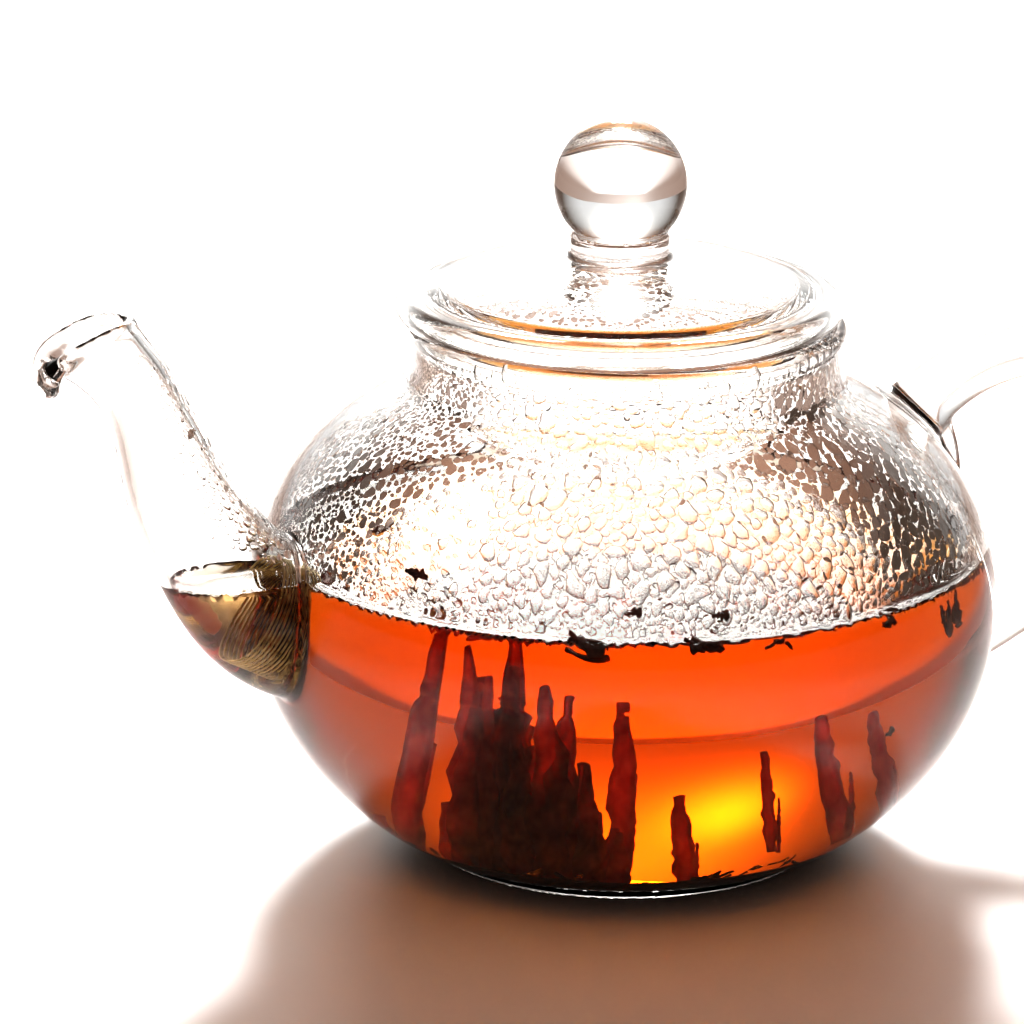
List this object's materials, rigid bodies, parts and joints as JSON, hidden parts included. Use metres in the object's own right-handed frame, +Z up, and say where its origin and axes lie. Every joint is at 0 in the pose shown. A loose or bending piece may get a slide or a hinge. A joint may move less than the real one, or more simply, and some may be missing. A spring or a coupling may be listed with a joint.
{
  "type": "glass teapot",
  "caption": "Round clear glass teapot with curved spout, ear-shaped glass handle, ball-knob lid, coil strainer at the spout root and loose leaf tea inside.",
  "frame": {"origin": "centre of the foot's flat underside, on the body's axis", "axes": "+Z up along the body's axis; the spout points along -X and the handle along +X"},
  "size_m": [0.2263, 0.1402, 0.1397],
  "materials": {
    "pot_glass": "clear blown borosilicate glass, polished, condensation inside above the tea",
    "lid_glass": "clear pressed and fused glass, polished, solid ball knob",
    "strainer_steel": "drawn steel wire, tea-stained",
    "brewed_tea": "clear amber-red liquid",
    "wet_leaves": "matte"
  },
  "bodies": {
    "pot": {"vessel": "pot_glass", "neck_rim": "pot_glass", "foot_disc": "pot_glass", "spout": "pot_glass", "spout_lip": "pot_glass", "handle_rod": "pot_glass", "handle_upper_root": "pot_glass", "handle_lower_root": "pot_glass", "handle_tail": "pot_glass", "spout_strainer": "strainer_steel", "tea": "brewed_tea", "tea_in_spout": "brewed_tea", "leaf_bed": "wet_leaves", "leaf_clump": "wet_leaves", "leaf_stem_1": "wet_leaves", "leaf_stem_2": "wet_leaves", "leaf_stem_3": "wet_leaves", "leaf_stem_4": "wet_leaves", "leaf_stem_5": "wet_leaves", "leaf_stem_6": "wet_leaves", "leaf_stem_7": "wet_leaves", "leaf_float_1": "wet_leaves", "leaf_float_2": "wet_leaves", "leaf_float_3": "wet_leaves", "leaf_float_4": "wet_leaves", "leaf_float_5": "wet_leaves"},
    "lid": {"lid_dome": "lid_glass", "lid_skirt": "lid_glass", "knob_neck": "lid_glass", "knob_ball": "lid_glass"}
  },
  "joints": [
    {"name": "lid_lift", "type": "slide", "parent": "pot", "child": "lid", "axis": [0, 0, 1], "range_m": [0, 0.05]}
  ]
}
